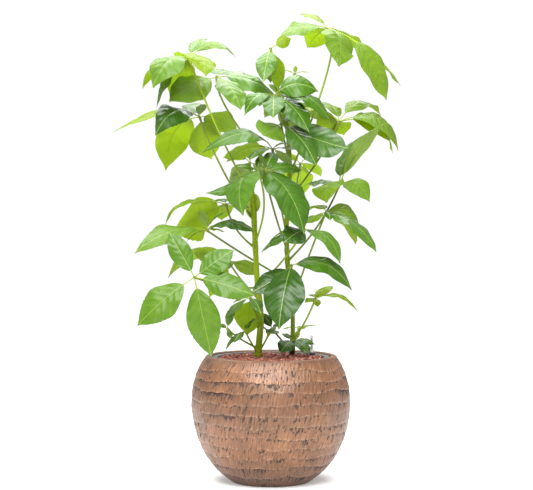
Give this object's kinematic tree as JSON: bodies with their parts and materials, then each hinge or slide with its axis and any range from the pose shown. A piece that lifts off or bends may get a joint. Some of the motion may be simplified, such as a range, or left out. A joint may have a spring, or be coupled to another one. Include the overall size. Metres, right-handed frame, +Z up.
{
  "type": "potted umbrella plant",
  "caption": "Umbrella plant with leafy stems standing in clay granules, in a liner inside a round pot with stepped tiers.",
  "frame": {"origin": "middle of the pot's flat foot, on the surface it stands on", "axes": "+Z up along the pot's axis, +X to the right and -Y towards the pictured side"},
  "size_m": [0.585, 0.4235, 0.938],
  "materials": {
    "pot": "copper-brown stoneware with combed, darkened tiers",
    "liner": "moulded grey plastic",
    "clay_granules": "rough expanded clay lumps",
    "gauge_tube": "clear plastic",
    "gauge_foot": "grey plastic with a dark lower ring",
    "gauge_float": "coloured plastic",
    "left_stem": "green bark with sheathed nodes",
    "right_stem": "green bark over a brown woody foot",
    "leaf": "glossy leaf with pale veins"
  },
  "bodies": {
    "root": {"pot": "pot", "liner": "liner", "clay_granules": "clay_granules", "gauge_tube": "gauge_tube", "gauge_foot": "gauge_foot", "gauge_float": "gauge_float", "left_stem": "left_stem", "right_stem": "right_stem", "left_stem_leaf_01": "leaf", "left_stem_leaf_02": "leaf", "left_stem_leaf_03": "leaf", "left_stem_leaf_04": "leaf", "left_stem_leaf_05": "leaf", "left_stem_leaf_06": "leaf", "left_stem_leaf_07": "leaf", "left_stem_leaf_08": "leaf", "left_stem_leaf_09": "leaf", "left_stem_leaf_10": "leaf", "left_stem_leaf_11": "leaf", "left_stem_leaf_12": "leaf", "right_stem_leaf_01": "leaf", "right_stem_leaf_02": "leaf", "right_stem_leaf_03": "leaf", "right_stem_leaf_04": "leaf", "right_stem_leaf_05": "leaf", "right_stem_leaf_06": "leaf", "right_stem_leaf_07": "leaf", "right_stem_leaf_08": "leaf", "right_stem_leaf_09": "leaf", "right_stem_leaf_10": "leaf", "right_stem_leaf_11": "leaf", "right_stem_leaf_12": "leaf", "right_stem_leaf_13": "leaf", "right_stem_leaf_14": "leaf", "right_stem_leaf_15": "leaf", "right_stem_leaf_16": "leaf", "right_stem_leaf_17": "leaf", "right_stem_leaf_18": "leaf", "right_stem_leaf_19": "leaf"}
  },
  "joints": []
}
